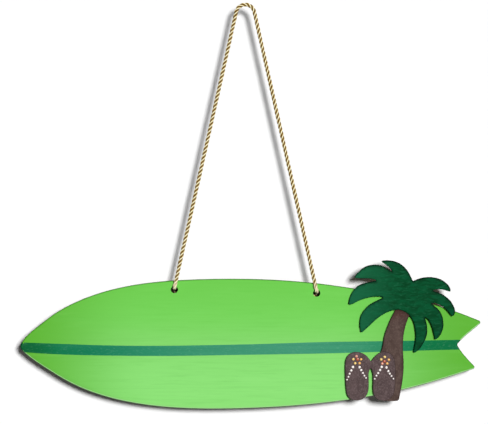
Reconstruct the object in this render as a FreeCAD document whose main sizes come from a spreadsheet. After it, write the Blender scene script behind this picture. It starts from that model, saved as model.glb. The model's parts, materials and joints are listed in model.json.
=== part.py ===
import FreeCAD, Part
import Sketcher
import math
import os

# Hanging wooden sign in the outline of a fish-tail surfboard, with a palm tree,
# a pair of flip-flops and a twisted cord.
#
# Frame: millimetres, +Z up, +X towards the forked tail, the painted face looks to -Y.
# Left and right are as seen from the front: left is -X, towards the nose.
# Origin: the underside of the cord at the top of its loop, where a nail carries it.
#
# Flat outlines are drawn in board coordinates: u runs from the nose along the board,
# v runs up from the board's centre line. hang_u and hang_v put the hanging point in them.

V = FreeCAD.Vector
doc = FreeCAD.newDocument("HangingSurfboardSign")

# ---------------------------------------------------------------- driving dimensions
# alias, value, note
DIMS = [
    ("overall_length", 508.0, "nose to upper tail tip; scales every outline"),
    ("hang_u", 248.6, "hanging point along the board, from the nose"),
    ("hang_v", 372.51, "hanging point above the board's centre line"),
    ("board_thickness", 10.0, "board"),
    ("front_round", 2.0, "round-over of the board's front edge"),
    ("back_round", 1.0, "round-over of the board's back edge"),
    ("tail_tip_round", 2.2, "corner radius of the two tail tips"),
    ("tail_notch_round", 1.6, "corner radius inside the tail fork"),
    ("hole_diameter", 8.0, "cord holes"),
    ("hole_left_u", 170.44, "left cord hole, along the board"),
    ("hole_left_v", 60.74, "left cord hole, above the centre line"),
    ("hole_right_u", 327.31, "right cord hole, along the board"),
    ("hole_right_v", 56.78, "right cord hole, above the centre line"),
    ("stripe_film", 0.12, "thickness of the painted band"),
    ("cutout_thickness", 4.5, "palm tree and flip-flops"),
    ("cutout_round", 0.8, "round-over of the flip-flops' front edges"),
    ("crotch_round", 0.5, "corner radius between two fronds and at the flip-flops' waist"),
    ("glue_gap", 0.15, "glue film between the board and a cut-out"),
    ("joint_gap", 0.15, "butt joint between two cut-outs"),
    ("glue_spot_radius", 5.0, "one spread spot of glue"),
    ("cord_diameter", 4.4, "twisted cord"),
    ("cord_face_gap", 0.3, "cord to the board's face"),
    ("bend_radius", 10.2, "bend of the cord over the nail, to the cord's centre"),
    ("fold_upper_drop", 90.0, "upper fold line below the hanging point"),
    ("fold_lower_drop", 175.0, "lower fold line below the hanging point"),
    ("segment_gap", 0.1, "gap between a rounded cord end and the next length"),
    ("cord_lift", 1.7, "cord above the centre of its hole, where the load pulls it"),
    ("knot_gap", 0.05, "knot to the board's back"),
    ("knot_depth", 9.2, "knot, front to back"),
    ("knot_width", 13.0, "knot, side to side"),
    ("knot_height", 12.0, "knot, up and down"),
    ("knot_tail", 15.0, "free end below the knot"),
    ("strap_dot_first", 1.45, "radius of the strap dot nearest the flower"),
    ("strap_dot_last", 0.9, "radius of the strap dot furthest from the flower"),
    ("petal_radius", 1.4, "petal dot"),
    ("centre_radius", 1.75, "flower centre dot"),
    ("dot_height", 0.7, "height of the flower dots and the largest strap dot"),
]
sheet = doc.addObject("Spreadsheet::Sheet", "dims")
sheet.Label = "dims"
for row, (alias, value, note) in enumerate(DIMS, start=1):
    sheet.set("A%d" % row, note)
    sheet.set("B%d" % row, str(value))
    sheet.setAlias("B%d" % row, alias)
doc.recompute()


def dim(alias):
    return float(getattr(sheet, alias))


DRAWN_LENGTH = 508.0                             # overall length the outlines are drawn for
SCALE = dim("overall_length") / DRAWN_LENGTH
CORD_RADIUS = dim("cord_diameter") / 2.0
FRONT_Y = CORD_RADIUS + dim("cord_face_gap")     # painted face of the board
BACK_Y = FRONT_Y + dim("board_thickness")        # back of the board
FRONT = "dims.cord_diameter / 2 + dims.cord_face_gap"    # FRONT_Y as an expression
CUTOUT_BACK = FRONT + " - dims.glue_gap"
SIDES = ("left", "right")

FROND_TIP_BULGE = 0.34           # rise of the arc at a frond's tip, as a share of its chord
STRAP_DOT_FLATTENING = 0.35      # height lost from the first strap dot to the last
KNOT_TAIL_SHIFT = 1.2            # top of the free end, outwards from the knot's centre
KNOT_TAIL_SLOPE = 0.28           # outward run of the free end per unit of drop
KNOT_TAIL_SETBACK = 0.6          # free end behind the knot's front
EDGE_TOLERANCE = 1e-5            # an edge counts as lying in a face
CORNER_REACH = 0.05              # an upright edge counts as standing on a corner

# ---------------------------------------------------------------- outlines, (u, v)
# rail: from the upper tail tip over the top edge, round the nose, to the lower tail tip
RAIL = [
    (509.66, 25.11), (483.87, 35.23), (457.75, 43.72), (428.95, 50.78), (396.09, 57.13),
    (361.5, 62.87), (328.64, 67.27), (296.49, 70.26), (263.99, 71.91), (230.35, 72.38),
    (196.11, 71.77), (164.0, 70.13), (134.76, 67.02), (107.75, 62.07), (82.53, 54.99),
    (59.34, 45.7), (38.49, 34.19), (20.21, 20.4), (2.87, 3.8), (0.4, -2.4),
    (5.23, -9.17), (28.31, -25.9), (51.02, -39.71), (73.24, -50.15), (97.36, -58.19),
    (123.77, -64.16), (152.05, -68.18), (181.85, -70.38), (213.63, -71.02),
    (248.13, -70.44), (282.62, -68.93), (316.22, -66.42), (349.14, -62.82),
    (381.35, -58.01), (412.78, -51.92), (443.15, -44.56), (472.92, -35.74),
    (503.32, -25.9)]
# fork: from the lower tail tip to the notch, then to the upper tail tip
FORK_LOWER = [
    (503.32, -25.9), (496.98, -19.4), (491.35, -13.23), (485.9, -6.2), (482.2, 0.0)]
FORK_UPPER = [
    (482.2, 0.0), (485.73, 4.19), (490.36, 8.71), (496.98, 14.33), (509.66, 25.11)]

# painted band: both long edges from nose to tail, and the middle of each rounded end
STRIPE_TOP = [
    (4.9, 2.3), (44.32, 0.88), (88.41, -0.66), (132.51, -1.32), (176.61, -1.1),
    (220.71, -0.33), (269.21, 0.77), (322.13, 2.54), (388.28, 3.64),
    (450.01, 4.63), (483.6, 5.3)]
STRIPE_BOTTOM = [
    (5.4, -8.4), (44.32, -10.8), (88.41, -11.91), (132.51, -12.46),
    (176.61, -12.35), (220.71, -11.69), (269.21, -10.91), (322.13, -10.03),
    (388.28, -8.27), (450.01, -6.28), (482.2, -5.5)]
STRIPE_TAIL_MIDDLE = (480.0, 0.0)
STRIPE_NOSE_MIDDLE = (2.9, -3.0)

# palm crown: each frond is an edge out to its tip and an edge back, joined by a small arc;
# the list runs anticlockwise, as seen from the front, from the topmost frond
FRONDS = [
    ([(433.26, 69.89), (431.27, 74.3), (429.07, 78.71), (425.98, 83.34), (422.23, 87.09),
      (418.04, 89.96), (413.08, 91.94), (407.57, 92.93), (403.16, 93.0), (399.96, 92.55)],
     [(399.19, 91.06), (403.38, 88.19), (406.69, 85.55), (409.66, 82.68), (411.65, 80.15)]),
    ([(411.65, 80.15), (409.0, 81.58), (406.25, 83.01), (402.06, 85.66), (397.65, 87.53),
      (392.13, 88.19), (386.73, 87.86), (381.99, 86.54), (377.91, 84.23), (374.72, 81.58),
      (371.74, 78.27), (369.76, 75.41)],
     [(370.53, 73.42), (373.94, 73.2), (380.56, 73.09), (387.5, 72.65), (391.14, 71.77),
      (394.23, 70.67)]),
    ([(394.23, 70.67), (389.38, 69.89), (385.41, 69.12), (381.0, 68.13), (376.81, 67.03),
      (372.84, 65.04), (368.43, 60.63), (365.24, 55.23), (363.58, 50.71), (362.92, 46.96)],
     [(364.46, 44.54), (366.45, 44.98), (372.84, 48.07), (380.01, 50.93), (384.75, 52.26),
      (392.8, 53.25), (397.54, 53.14), (400.84, 52.26)]),
    ([(400.84, 52.26), (395.22, 49.5), (389.49, 46.63), (384.2, 43.11), (380.56, 39.25),
      (377.47, 35.06), (375.49, 30.21), (374.83, 25.47), (374.94, 19.4), (375.71, 15.88)],
     [(378.13, 14.33), (383.76, 19.4), (391.47, 26.68), (398.53, 32.19), (404.81, 35.72),
      (409.66, 37.59), (413.96, 38.59)]),
    ([(429.4, 32.41), (432.04, 28.88), (434.36, 23.92), (435.57, 18.19), (436.34, 10.25),
      (436.01, 4.63), (435.13, -0.88), (433.92, -6.39)],
     [(435.9, -8.27), (438.77, -6.39), (443.18, -0.88), (446.37, 4.85), (448.47, 10.58),
      (449.02, 16.54), (448.69, 20.95), (447.59, 26.24), (446.37, 30.98)]),
    ([(446.37, 30.98), (448.91, 28.88), (451.0, 26.46), (452.99, 22.71), (454.31, 19.4),
      (455.74, 14.11), (457.07, 8.38)],
     [(459.05, 6.28), (462.69, 9.7), (465.23, 14.33), (466.55, 18.85), (466.77, 23.59),
      (466.22, 28.55), (464.23, 34.62), (461.59, 38.59), (457.62, 42.22), (453.65, 45.6)]),
    ([(453.65, 45.6), (456.19, 46.08), (459.27, 45.42), (462.8, 43.99), (466.55, 41.56),
      (469.97, 38.81), (472.72, 35.5), (475.26, 32.63)],
     [(478.57, 33.07), (479.56, 35.94), (479.23, 39.69), (477.46, 43.77), (474.82, 48.07),
      (471.29, 51.59), (467.32, 54.68), (462.69, 56.89), (458.61, 58.21), (454.86, 59.75)]),
    ([(454.86, 59.75), (458.83, 60.96), (463.46, 61.07), (467.87, 60.19), (472.72, 58.76)],
     [(474.71, 60.3), (473.16, 64.38), (469.41, 68.46), (464.89, 71.55), (460.15, 73.42),
      (454.42, 74.41), (447.81, 74.41), (442.07, 73.42), (437.44, 71.88), (433.26, 69.89)]),
]
# underside of the crown, left to right, where the trunk butts on
CROWN_BASE = [(413.96, 38.59), (417.71, 38.7), (423.44, 36.82), (429.4, 32.41)]
FRONDS_BEFORE_BASE = 4

# palm trunk, downwards; the ends that touch the crown and the flip-flop are worked out
TRUNK_LEFT = [
    (411.87, 34.18), (409.0, 28.66), (406.14, 22.05), (403.6, 15.43), (401.62, 8.38),
    (400.4, 1.21)]
TRUNK_RIGHT = [
    (428.4, 29.99), (426.97, 26.46), (425.32, 21.61), (423.99, 16.54),
    (423.0, 11.02), (422.34, 3.97), (422.23, -5.4), (422.67, -12.57), (423.0, -19.73),
    (422.89, -27.45), (422.23, -35.17), (421.13, -43.44), (419.7, -51.15), (417.9, -60.0)]
TRUNK_FOOT = [(416.2, -61.7), (409.0, -62.0)]

# flip-flops: the left one from the upper notch of the waist round to the lower notch,
# then the right one back
SANDAL_LEFT = [
    (386.95, -18.52), (385.41, -15.87), (382.98, -13.01), (380.12, -10.69),
    (376.81, -9.04), (373.5, -8.16), (370.2, -7.94), (366.67, -8.49), (363.58, -9.92),
    (361.16, -12.35), (359.61, -15.65), (358.84, -19.84), (358.62, -25.8),
    (358.84, -34.62), (359.17, -42.33), (359.61, -48.4), (360.38, -53.36),
    (362.04, -57.11), (364.9, -59.75), (368.65, -61.07), (372.84, -61.18),
    (376.81, -60.19), (380.12, -57.99), (382.54, -54.9), (383.98, -50.93),
    (384.53, -45.64), (384.53, -39.25), (384.4, -32.85), (384.97, -29.1),
    (387.06, -26.13)]
SANDAL_RIGHT = [
    (387.06, -26.13), (388.5, -29.32), (389.16, -34.29), (389.27, -41.23),
    (389.16, -48.51), (389.71, -52.92), (391.14, -56.89), (393.57, -59.75),
    (397.32, -61.07), (401.95, -61.52), (406.14, -60.41), (409.44, -57.77),
    (411.65, -53.8), (412.86, -48.95), (413.52, -42.99), (413.85, -36.38),
    (413.85, -29.1), (413.63, -22.49), (412.97, -17.64), (411.43, -13.45),
    (408.78, -10.14), (405.47, -8.27), (401.73, -7.61), (397.98, -8.27),
    (394.23, -10.25), (391.14, -13.01), (388.72, -16.1), (386.95, -18.52)]
SANDAL_OUTER = SANDAL_RIGHT[9:24]    # the run along the trunk, upwards

# painted drops on the flip-flops; each strap is a row of dots from the flower outwards
STRAPS = {
    "left": [
        [(367.11, -24.47), (365.24, -28.11), (363.47, -31.75), (362.15, -35.17),
         (360.6, -38.36)],
        [(374.39, -24.58), (376.15, -27.78), (378.02, -30.98), (379.79, -33.95),
         (381.55, -36.38)]],
    "right": [
        [(398.75, -24.36), (396.99, -27.67), (394.89, -31.09), (393.02, -33.95),
         (391.2, -37.37)],
        [(403.93, -25.03), (406.14, -28.88), (407.68, -31.75), (409.55, -34.29),
         (411.7, -37.26)]],
}
PETALS = {
    "left": [(371.08, -12.57), (367.55, -15.87), (376.04, -15.87), (369.53, -20.17),
             (374.39, -20.17)],
    "right": [(402.17, -13.23), (398.2, -16.1), (406.58, -16.32), (399.45, -20.6),
              (404.81, -20.6)],
}
FLOWER_CENTRE = {"left": (372.18, -15.97), "right": (401.95, -18.2)}

# glue spots, all under their cut-out and on the board
GLUE_CROWN = [(406.0, 42.5), (420.0, 45.5), (434.0, 40.0)]
GLUE_TRUNK = [(412.5, 8.0), (411.3, -1.6)]
GLUE_SANDALS = [(366.5, -30.0), (376.5, -48.0), (402.0, -30.0), (401.0, -45.0)]


# ---------------------------------------------------------------- outline helpers
def scaled(points):
    return [(u * SCALE, v * SCALE) for u, v in points]


def flat(point):
    return V(point[0], point[1], 0)


def run(points):
    """An outline piece through the points, as (curve, end point)."""
    if len(points) == 2:
        return (Part.LineSegment(flat(points[0]), flat(points[1])), points[-1])
    spline = Part.BSplineCurve()
    spline.interpolate([flat(point) for point in points])
    return (spline, points[-1])


def tip_arc(start, end):
    """The arc at a frond's tip, standing out to the right of start-end."""
    du, dv = end[0] - start[0], end[1] - start[1]
    crest = ((start[0] + end[0]) / 2.0 + dv * FROND_TIP_BULGE,
             (start[1] + end[1]) / 2.0 - du * FROND_TIP_BULGE)
    return (Part.ArcOfCircle(flat(start), flat(crest), flat(end)), end)


def offset_right(points, distance):
    """Moves each point of an open run to the right of its direction of travel."""
    moved = []
    for i, (u, v) in enumerate(points):
        before = points[max(i - 1, 0)]
        after = points[min(i + 1, len(points) - 1)]
        du, dv = after[0] - before[0], after[1] - before[1]
        length = math.hypot(du, dv)
        moved.append((u + dv / length * distance, v - du / length * distance))
    return moved


# ---------------------------------------------------------------- document helpers
def add(kind, name):
    obj = doc.addObject(kind, name)
    obj.Label = name
    return obj


def group(name, members):
    compound = add("Part::Compound", name)
    compound.Links = members
    return compound


def fuse(name, members):
    piece = add("Part::MultiFuse", name)
    piece.Shapes = members
    piece.Refine = False
    return piece


def face_sketch(body, name):
    """A sketch in the body's XZ plane: its x is +X, its y is +Z and it looks to -Y."""
    plane = next(f for f in body.Origin.OriginFeatures if f.Role == "XZ_Plane")
    sketch = body.newObject("Sketcher::SketchObject", name)
    sketch.AttachmentSupport = [(plane, "")]
    sketch.MapMode = "FlatFace"
    return sketch


def vertex_number(geometry, point):
    """Sketch vertex at the point: 1 for the start, 2 for the end; an arc may be stored reversed."""
    return 1 if (geometry.StartPoint - flat(point)).Length < 1e-6 else 2


def outline_sketch(body, name, chain):
    """Draws a closed chain of (curve, end point) and ties the curves end to end."""
    sketch = face_sketch(body, name)
    ids = [sketch.addGeometry(piece, False) for piece, end in chain]
    stored = [sketch.Geometry[i] for i in ids]
    for i, (piece, joint) in enumerate(chain):
        j = (i + 1) % len(chain)
        sketch.addConstraint(Sketcher.Constraint(
            "Coincident", ids[i], vertex_number(stored[i], joint),
            ids[j], vertex_number(stored[j], joint)))
    return sketch


def pad(body, sketch, name, alias):
    """Pads the sketch towards -Y."""
    feature = body.newObject("PartDesign::Pad", name)
    feature.Profile = sketch
    feature.setExpression("Length", "dims." + alias)
    sketch.Visibility = False
    doc.recompute()
    return feature


def fillet(body, base, names, name, alias):
    feature = body.newObject("PartDesign::Fillet", name)
    feature.Base = (base, names)
    feature.setExpression("Radius", "dims." + alias)
    doc.recompute()
    return feature


def face_edges(feature, depth, skip=()):
    """Edges in the plane y = -depth, except those with their middle in a skip (u, v, radius)."""
    names = []
    for i, edge in enumerate(feature.Shape.Edges, start=1):
        middle = edge.valueAt((edge.FirstParameter + edge.LastParameter) / 2.0)
        points = [middle] + [vertex.Point for vertex in edge.Vertexes]
        in_plane = all(abs(point.y + depth) < EDGE_TOLERANCE for point in points)
        skipped = any(math.hypot(middle.x - u, middle.z - v) < radius for u, v, radius in skip)
        if in_plane and not skipped:
            names.append("Edge%d" % i)
    return names


def upright_edges(feature, corners):
    """Edges that run front to back through the given (u, v) corners."""
    names = []
    for i, edge in enumerate(feature.Shape.Edges, start=1):
        ends = [vertex.Point for vertex in edge.Vertexes]
        if len(ends) != 2:
            continue
        start, end = ends
        if abs(start.x - end.x) > 1e-6 or abs(start.z - end.z) > 1e-6:
            continue
        if any(math.hypot(start.x - u, start.z - v) < CORNER_REACH for u, v in corners):
            names.append("Edge%d" % i)
    return names


def place_on_board(body, y_expression):
    body.setExpression("Placement.Base.x", "-dims.hang_u")
    body.setExpression("Placement.Base.y", y_expression)
    body.setExpression("Placement.Base.z", "-dims.hang_v")


def facing_front(point, y):
    """Placement at a (u, v) point of the board, with local z turned to -Y."""
    return FreeCAD.Placement(V(point[0] - dim("hang_u"), y, point[1] - dim("hang_v")),
                             FreeCAD.Rotation(V(1, 0, 0), 90))


# ---------------------------------------------------------------- board
def hole_centre(side):
    return dim("hole_%s_u" % side), dim("hole_%s_v" % side)


def cord_hole_sketch(body):
    sketch = face_sketch(body, "cord_holes_sketch")
    for side in SIDES:
        u, v = hole_centre(side)
        diameter = dim("hole_diameter")
        circle = sketch.addGeometry(Part.Circle(V(u, v, 0), V(0, 0, 1), diameter / 2.0), False)
        for constraint, alias in (
                (Sketcher.Constraint("Diameter", circle, diameter), "hole_diameter"),
                (Sketcher.Constraint("DistanceX", -1, 1, circle, 3, u), "hole_%s_u" % side),
                (Sketcher.Constraint("DistanceY", -1, 1, circle, 3, v), "hole_%s_v" % side)):
            index = sketch.addConstraint(constraint)
            sketch.setExpression("Constraints[%d]" % index, "dims." + alias)
    doc.recompute()
    return sketch


def drill_cord_holes(body):
    """Cuts the holes both ways from the sketch, which lies in the board's back face."""
    sketch = cord_hole_sketch(body)
    drill = body.newObject("PartDesign::Pocket", "cord_holes")
    drill.Profile = sketch
    drill.Type = 1    # through all
    # the property that makes a pocket symmetric depends on the FreeCAD release
    if hasattr(drill, "SideType"):
        drill.SideType = "Symmetric"
    else:
        drill.Midplane = True
    sketch.Visibility = False
    doc.recompute()
    for side in SIDES:
        u, v = hole_centre(side)
        if drill.Shape.isInside(V(u, -dim("board_thickness") / 2.0, v), 1e-4, False):
            raise RuntimeError("the %s cord hole isn't cut" % side)
    return drill


def make_board():
    body = add("PartDesign::Body", "board")
    rail, fork_lower, fork_upper = scaled(RAIL), scaled(FORK_LOWER), scaled(FORK_UPPER)
    outline = outline_sketch(body, "board_outline",
                             [run(rail), run(fork_lower), run(fork_upper)])
    blank = pad(body, outline, "board_blank", "board_thickness")
    tips = fillet(body, blank, upright_edges(blank, [rail[0], rail[-1]]),
                  "tail_tips", "tail_tip_round")
    fillet(body, tips, upright_edges(tips, [fork_upper[0]]), "tail_notch", "tail_notch_round")
    drill = drill_cord_holes(body)

    # the rims of the holes stay sharp
    rims = [hole_centre(side) + (dim("hole_diameter"),) for side in SIDES]
    front = fillet(body, drill, face_edges(drill, dim("board_thickness"), rims),
                   "front_round_over", "front_round")
    fillet(body, front, face_edges(front, 0.0, rims), "back_round_over", "back_round")
    place_on_board(body, FRONT + " + dims.board_thickness")
    return body


def make_stripe():
    """The painted band along the board."""
    body = add("PartDesign::Body", "stringer_stripe")
    top, bottom = scaled(STRIPE_TOP), scaled(STRIPE_BOTTOM)
    tail_middle, nose_middle = scaled([STRIPE_TAIL_MIDDLE, STRIPE_NOSE_MIDDLE])
    outline = outline_sketch(body, "stripe_outline", [
        run(top),
        run([top[-1], tail_middle, bottom[-1]]),
        run(bottom[::-1]),
        run([bottom[0], nose_middle, top[0]])])
    pad(body, outline, "stripe_film_pad", "stripe_film")
    place_on_board(body, FRONT)
    return body


# ---------------------------------------------------------------- cut-outs
def make_crown():
    body = add("PartDesign::Body", "palm_crown")
    chain = []
    crotches = []
    for index, frond in enumerate(FRONDS):
        outward, inward = scaled(frond[0]), scaled(frond[1])
        if index == FRONDS_BEFORE_BASE:
            chain.append(run(scaled(CROWN_BASE)))
        chain += [run(outward), tip_arc(outward[-1], inward[0]), run(inward)]
        # the frond before the base ends at the trunk joint, not in a crotch
        if index != FRONDS_BEFORE_BASE - 1:
            crotches.append(inward[-1])
    outline = outline_sketch(body, "crown_outline", chain)
    blank = pad(body, outline, "crown_blank", "cutout_thickness")
    fillet(body, blank, upright_edges(blank, crotches), "frond_crotches", "crotch_round")
    place_on_board(body, CUTOUT_BACK)
    return body


def make_flip_flops():
    """Both flip-flops, cut in one piece that joins at the waist."""
    body = add("PartDesign::Body", "flip_flop_pair")
    left, right = scaled(SANDAL_LEFT), scaled(SANDAL_RIGHT)
    outline = outline_sketch(body, "flip_flop_outline", [run(left), run(right)])
    blank = pad(body, outline, "flip_flop_blank", "cutout_thickness")
    waist = fillet(body, blank, upright_edges(blank, [left[0], left[-1]]),
                   "waist_corners", "crotch_round")
    fillet(body, waist, face_edges(waist, dim("cutout_thickness")),
           "flip_flop_round_over", "cutout_round")
    place_on_board(body, CUTOUT_BACK)
    return body


def make_trunk():
    """The trunk, a joint gap away from the crown's base and the right flip-flop."""
    body = add("PartDesign::Body", "palm_trunk")
    gap = dim("joint_gap")
    top = [(u, v - gap) for u, v in scaled(CROWN_BASE)]
    sandal_side = offset_right(scaled(SANDAL_OUTER), gap)
    left = [top[0]] + scaled(TRUNK_LEFT) + [sandal_side[-1]]
    right = [top[-1]] + scaled(TRUNK_RIGHT)
    foot = scaled(TRUNK_FOOT)
    outline = outline_sketch(body, "trunk_outline", [
        run(top),
        run(right),
        run([right[-1], foot[0]]),
        run(foot + [sandal_side[0]]),
        run(sandal_side),
        run(left[::-1])])
    pad(body, outline, "trunk_blank", "cutout_thickness")
    place_on_board(body, CUTOUT_BACK)
    return body


# ---------------------------------------------------------------- glue
def glue_spots(name, points):
    spots = []
    for number, point in enumerate(scaled(points), start=1):
        spot = add("Part::Cylinder", "%s_spot_%d" % (name, number))
        spot.setExpression("Radius", "dims.glue_spot_radius")
        spot.setExpression("Height", "dims.glue_gap")
        spot.Placement = facing_front(point, FRONT_Y)
        spots.append(spot)
    return group(name, spots)


def make_trunk_glue(stripe):
    """The trunk's glue partly lies over the painted band, so it is thinner there."""
    spots = glue_spots("trunk_glue_spots", GLUE_TRUNK)
    glue = add("Part::Cut", "trunk_glue")
    glue.Base = spots
    glue.Tool = stripe
    return glue


# ---------------------------------------------------------------- painted drops
def drop_group(name, drops):
    """drops: (point, radius expression, height expression); each is half an ellipsoid."""
    face_y = FRONT_Y - dim("glue_gap") - dim("cutout_thickness")
    members = []
    for number, (point, radius, height) in enumerate(drops, start=1):
        drop = add("Part::Ellipsoid", "%s_drop_%d" % (name, number))
        drop.setExpression("Radius1", height)
        drop.setExpression("Radius2", radius)
        drop.setExpression("Radius3", radius)
        drop.Angle1 = 0
        drop.Angle2 = 90
        drop.Placement = facing_front(scaled([point])[0], face_y)
        members.append(drop)
    return group(name, members)


def strap_drops(rows):
    """Dots that get smaller and flatter along each row."""
    drops = []
    for row in rows:
        for i, point in enumerate(row):
            share = i / float(len(row) - 1)
            radius = ("dims.strap_dot_first + (dims.strap_dot_last - dims.strap_dot_first) * %.4f"
                      % share)
            height = "dims.dot_height * (1 - %.2f * %.4f)" % (STRAP_DOT_FLATTENING, share)
            drops.append((point, radius, height))
    return drops


def make_drops(side):
    """The straps, petals and flower centre painted on one flip-flop."""
    petals = [(point, "dims.petal_radius", "dims.dot_height") for point in PETALS[side]]
    centre = [(FLOWER_CENTRE[side], "dims.centre_radius", "dims.dot_height")]
    return [drop_group("strap_dots_" + side, strap_drops(STRAPS[side])),
            drop_group("flower_petals_" + side, petals),
            drop_group("flower_centre_" + side, centre)]


# ---------------------------------------------------------------- cord
# The cord lies in the plane y = 0, in (x, z) points. Its two legs are straight from the
# bend over the nail down to a pivot just in front of each hole, near the top of the hole.
BEND_RADIUS = dim("bend_radius")
BEND_Z = CORD_RADIUS - BEND_RADIUS                    # centre of the bend
END_CLEARANCE = CORD_RADIUS + dim("segment_gap")      # centre of a ball end to the next length


def pivot_point(side):
    u, v = hole_centre(side)
    return (u - dim("hang_u"), v - dim("hang_v") + dim("cord_lift"))


def tangent_point(x, z):
    """The upper of the two points where a line from (x, z) touches the bend circle."""
    distance = math.hypot(x, z - BEND_Z)
    base_angle = math.atan2(z - BEND_Z, x)
    spread = math.acos(BEND_RADIUS / distance)
    touches = [(BEND_RADIUS * math.cos(angle), BEND_Z + BEND_RADIUS * math.sin(angle))
               for angle in (base_angle + spread, base_angle - spread)]
    return max(touches, key=lambda touch: touch[1])


def at_drop(side, drop):
    """The point of a leg that lies drop below the origin."""
    (top_x, top_z), (low_x, low_z) = TANGENT[side], PIVOT[side]
    share = (top_z + drop) / (top_z - low_z)
    return (top_x + (low_x - top_x) * share, -drop)


PIVOT = {side: pivot_point(side) for side in SIDES}
TANGENT = {side: tangent_point(*PIVOT[side]) for side in SIDES}
FOLD_UPPER = {side: at_drop(side, dim("fold_upper_drop")) for side in SIDES}
FOLD_LOWER = {side: at_drop(side, dim("fold_lower_drop")) for side in SIDES}


def rod(name, start, end):
    direction = V(end[0] - start[0], 0, end[1] - start[1])
    piece = add("Part::Cylinder", name)
    piece.setExpression("Radius", "dims.cord_diameter / 2")
    piece.Height = direction.Length
    piece.Placement = FreeCAD.Placement(V(start[0], 0, start[1]),
                                        FreeCAD.Rotation(V(0, 0, 1), direction))
    return piece


def ball(name, centre):
    piece = add("Part::Sphere", name)
    piece.setExpression("Radius", "dims.cord_diameter / 2")
    piece.Placement = FreeCAD.Placement(V(centre[0], 0, centre[1]), FreeCAD.Rotation())
    return piece


def towards(start, end, distance):
    share = distance / math.hypot(end[0] - start[0], end[1] - start[1])
    return (start[0] + (end[0] - start[0]) * share, start[1] + (end[1] - start[1]) * share)


def make_bend():
    """Part of a torus over the nail, from the right tangent point to the left one."""
    angle = {side: math.atan2(TANGENT[side][1] - BEND_Z, TANGENT[side][0]) for side in SIDES}
    cosine, sine = math.cos(angle["right"]), math.sin(angle["right"])
    bend = add("Part::Torus", "cord_bend")
    bend.setExpression("Radius1", "dims.bend_radius")
    bend.setExpression("Radius2", "dims.cord_diameter / 2")
    bend.Angle1 = -180
    bend.Angle2 = 180
    bend.Angle3 = math.degrees(angle["left"]) - math.degrees(angle["right"])
    # local x points to the right tangent point, the torus axis lies along -Y
    bend.Placement = FreeCAD.Placement(
        V(0, 0, BEND_Z),
        FreeCAD.Rotation(V(cosine, 0, sine), V(-sine, 0, cosine), V(0, -1, 0), "XYZ"))
    return bend


def make_loop():
    """The bend and both legs down to the upper fold line."""
    members = [make_bend()]
    for side in SIDES:
        members.append(rod("loop_leg_" + side, TANGENT[side], FOLD_UPPER[side]))
        members.append(ball("loop_end_" + side, FOLD_UPPER[side]))
    return fuse("cord_loop", members)


def make_leg_length(part, side, start, end):
    """A straight length that starts clear of the ball above it and ends in its own ball."""
    return fuse("cord_%s_%s" % (part, side), [
        rod("%s_leg_%s" % (part, side), towards(start, end, END_CLEARANCE), end),
        ball("%s_end_%s" % (part, side), end)])


def make_cord_end(side):
    """The cord through the hole, up to the knot."""
    x, z = PIVOT[side]
    end = add("Part::Cylinder", "cord_end_" + side)
    end.setExpression("Radius", "dims.cord_diameter / 2")
    end.setExpression("Height", FRONT + " + dims.board_thickness + dims.knot_gap"
                                        " - dims.cord_diameter / 2 - dims.segment_gap")
    end.Placement = FreeCAD.Placement(V(x, END_CLEARANCE, z), FreeCAD.Rotation(V(1, 0, 0), -90))
    return end


def make_knot(side, outward):
    """The stopper knot on the back, with its free end; outward is the sign of x."""
    x, z = PIVOT[side]
    knot_front = BACK_Y + dim("knot_gap")
    core = add("Part::Ellipsoid", "knot_core_" + side)
    core.setExpression("Radius1", "dims.knot_depth / 2")
    core.setExpression("Radius2", "dims.knot_width / 2")
    core.setExpression("Radius3", "dims.knot_height / 2")
    core.Placement = FreeCAD.Placement(V(x, knot_front + dim("knot_depth") / 2.0, z),
                                       FreeCAD.Rotation(V(1, 0, 0), -90))
    tail = add("Part::Cylinder", "knot_tail_" + side)
    tail.setExpression("Radius", "dims.cord_diameter / 2")
    tail.setExpression("Height", "dims.knot_height / 4 + dims.knot_tail")
    tail.Placement = FreeCAD.Placement(
        V(x + outward * KNOT_TAIL_SHIFT, knot_front + CORD_RADIUS + KNOT_TAIL_SETBACK,
          z - dim("knot_height") / 4.0),
        FreeCAD.Rotation(V(0, 0, 1), V(outward * KNOT_TAIL_SLOPE, 0, -1)))
    return fuse("knot_" + side, [core, tail])


# ---------------------------------------------------------------- build, check and write
stripe = make_stripe()
pieces = [
    make_board(), stripe, make_crown(), make_trunk(), make_flip_flops(),
    glue_spots("crown_glue", GLUE_CROWN),
    make_trunk_glue(stripe),
    glue_spots("flip_flop_glue", GLUE_SANDALS),
    make_loop()]
for side, outward in (("left", -1.0), ("right", 1.0)):
    pieces += make_drops(side)
    pieces.append(make_leg_length("middle", side, FOLD_UPPER[side], FOLD_LOWER[side]))
    pieces.append(make_leg_length("lower", side, FOLD_LOWER[side], PIVOT[side]))
    pieces.append(make_cord_end(side))
    pieces.append(make_knot(side, outward))

doc.recompute()
for obj in doc.Objects:
    if any(word in obj.State for word in ("Invalid", "Error")):
        raise RuntimeError("failed: %s %s" % (obj.Name, obj.State))
for obj in pieces:
    if obj.Shape.isNull() or not obj.Shape.isValid() or not obj.Shape.Solids:
        raise RuntimeError("bad shape: " + obj.Label)

os.makedirs("parts", exist_ok=True)
for obj in pieces:
    obj.Shape.exportStep("parts/%s.step" % obj.Label)
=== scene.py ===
import json
import math
import random

import bmesh
import bpy
import numpy as np
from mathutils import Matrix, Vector
from mathutils.geometry import delaunay_2d_cdt


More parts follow.
